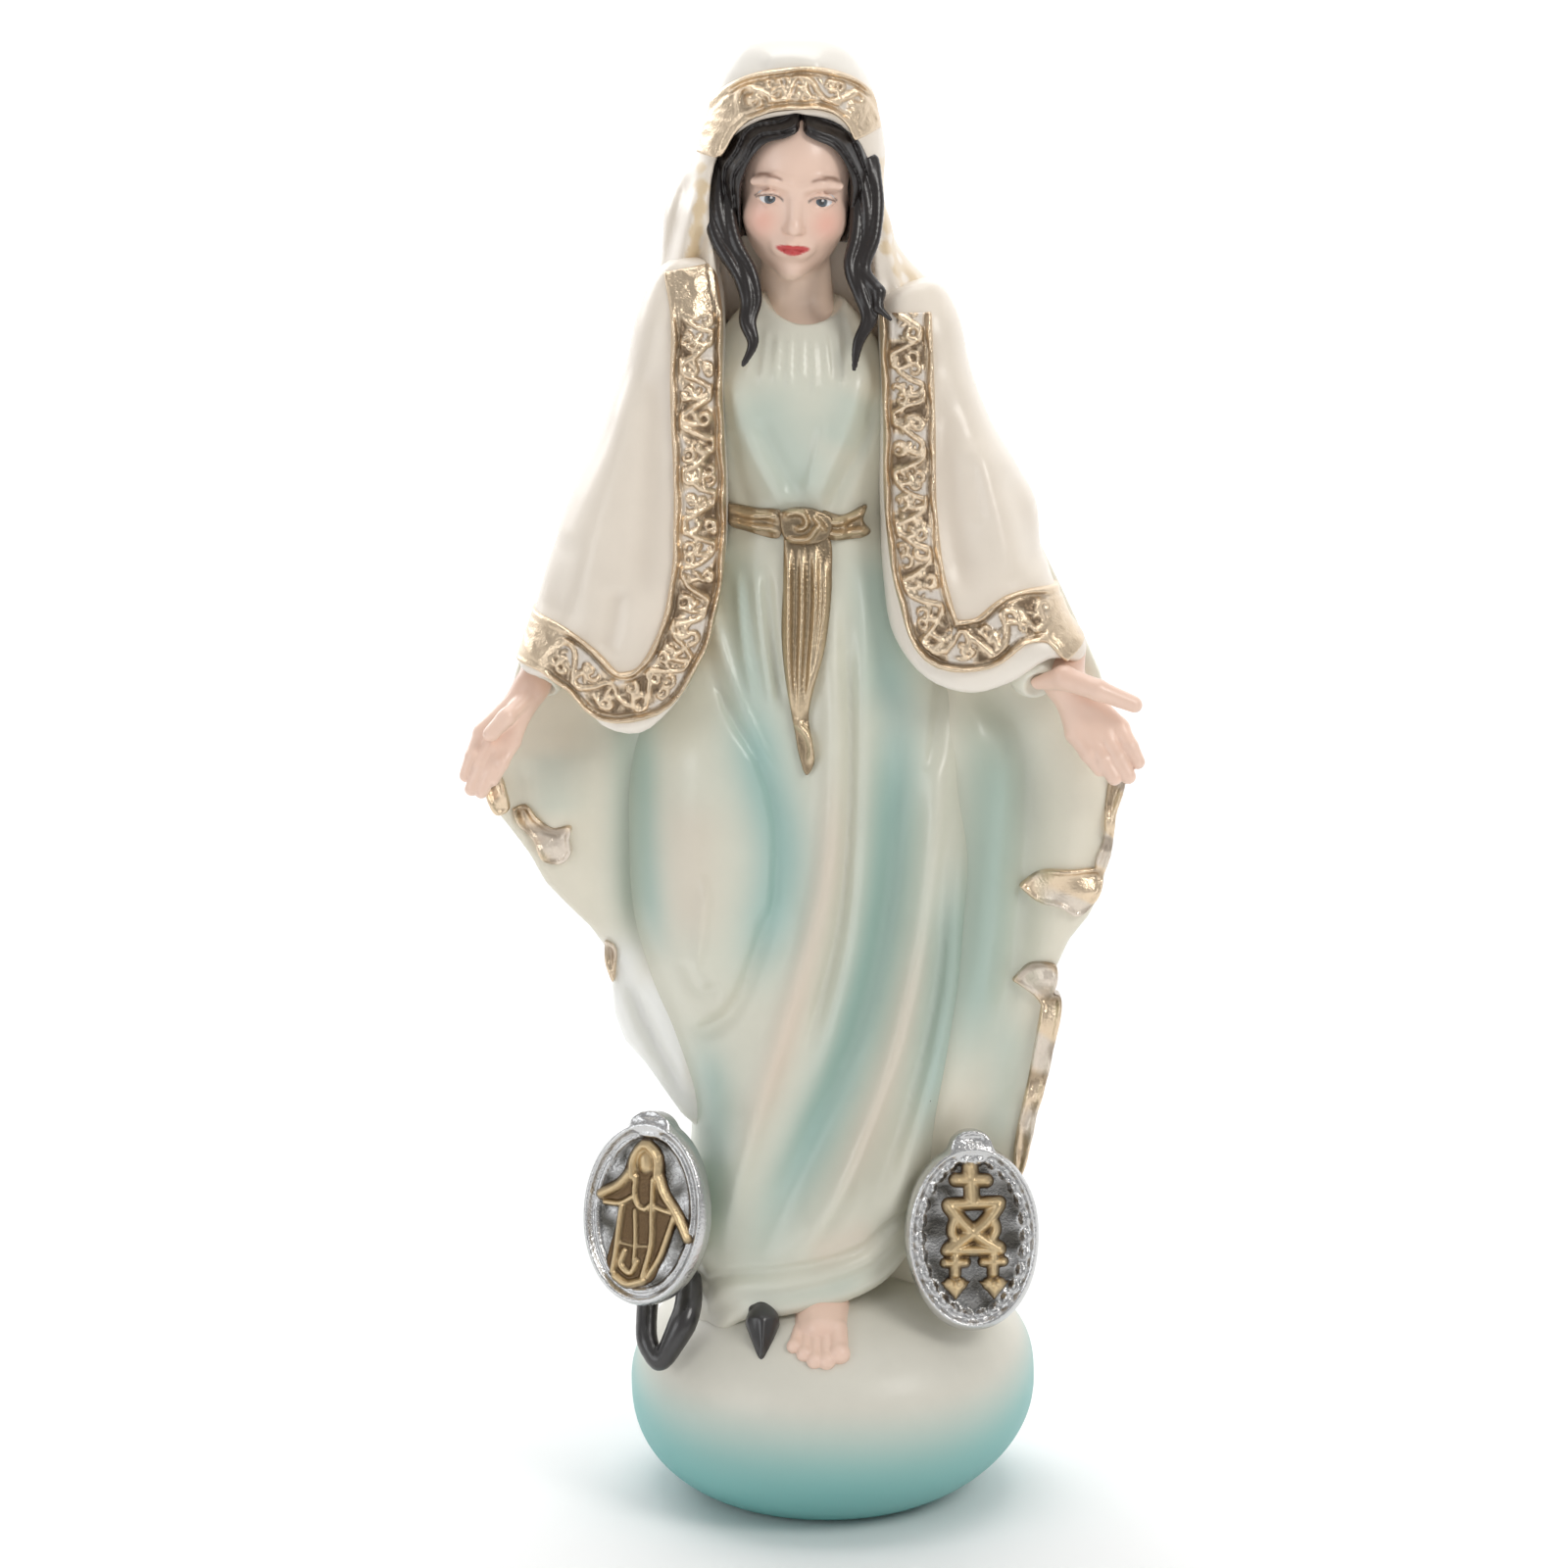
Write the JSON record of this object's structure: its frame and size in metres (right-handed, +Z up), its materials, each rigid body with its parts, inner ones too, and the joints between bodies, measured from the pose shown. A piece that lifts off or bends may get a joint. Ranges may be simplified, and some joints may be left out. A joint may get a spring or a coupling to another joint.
{
  "type": "religious statue",
  "caption": "Painted cast figurine of a robed, hooded woman with open hands, standing on a flattened globe with a medal at each side.",
  "frame": {"origin": "centre of the bounding box, on the surface the statue stands on", "axes": "+Z up, the figure looks towards -Y, +X to a viewer's right"},
  "size_m": [0.0921, 0.0566, 0.2],
  "materials": {
    "cloak_paint": "off-white paint under semi-gloss lacquer",
    "gown_paint": "grey-green cream paint with teal airbrushing, semi-gloss lacquer",
    "lining_paint": "cream paint, semi-gloss lacquer",
    "gilt": "champagne-gold metallic paint with dark antiquing in its recesses",
    "gilt_dark": "brown-gold metallic paint",
    "silver_paint": "silver metallic paint with dark antiquing",
    "skin_paint": "peach paint, satin",
    "hair_paint": "black gloss paint",
    "serpent_paint": "black gloss paint",
    "globe_paint": "cream fading to turquoise paint, semi-gloss lacquer"
  },
  "bodies": {
    "root": {"globe_base": "globe_paint", "gown": "gown_paint", "mantle_back": "cloak_paint", "hood": "cloak_paint", "cape_left": "cloak_paint", "cape_right": "cloak_paint", "hood_border": "gilt", "cape_border_left": "gilt", "cape_border_right": "gilt", "mantle_edging_left": "gilt", "mantle_edging_right": "gilt", "sash_knot": "gilt_dark", "sash_bow": "gilt_dark", "sash_tail": "gilt_dark", "head": "skin_paint", "hand_left": "skin_paint", "hand_right": "skin_paint", "foot": "skin_paint", "hair_crown": "hair_paint", "hair_lock_left": "hair_paint", "hair_lock_right": "hair_paint", "cuff_left": "lining_paint", "cuff_right": "lining_paint", "serpent_loop": "serpent_paint", "serpent_head": "serpent_paint", "medal_left": "silver_paint", "medal_right": "silver_paint", "medal_left_relief": "gilt", "medal_right_relief": "gilt"}
  },
  "joints": []
}
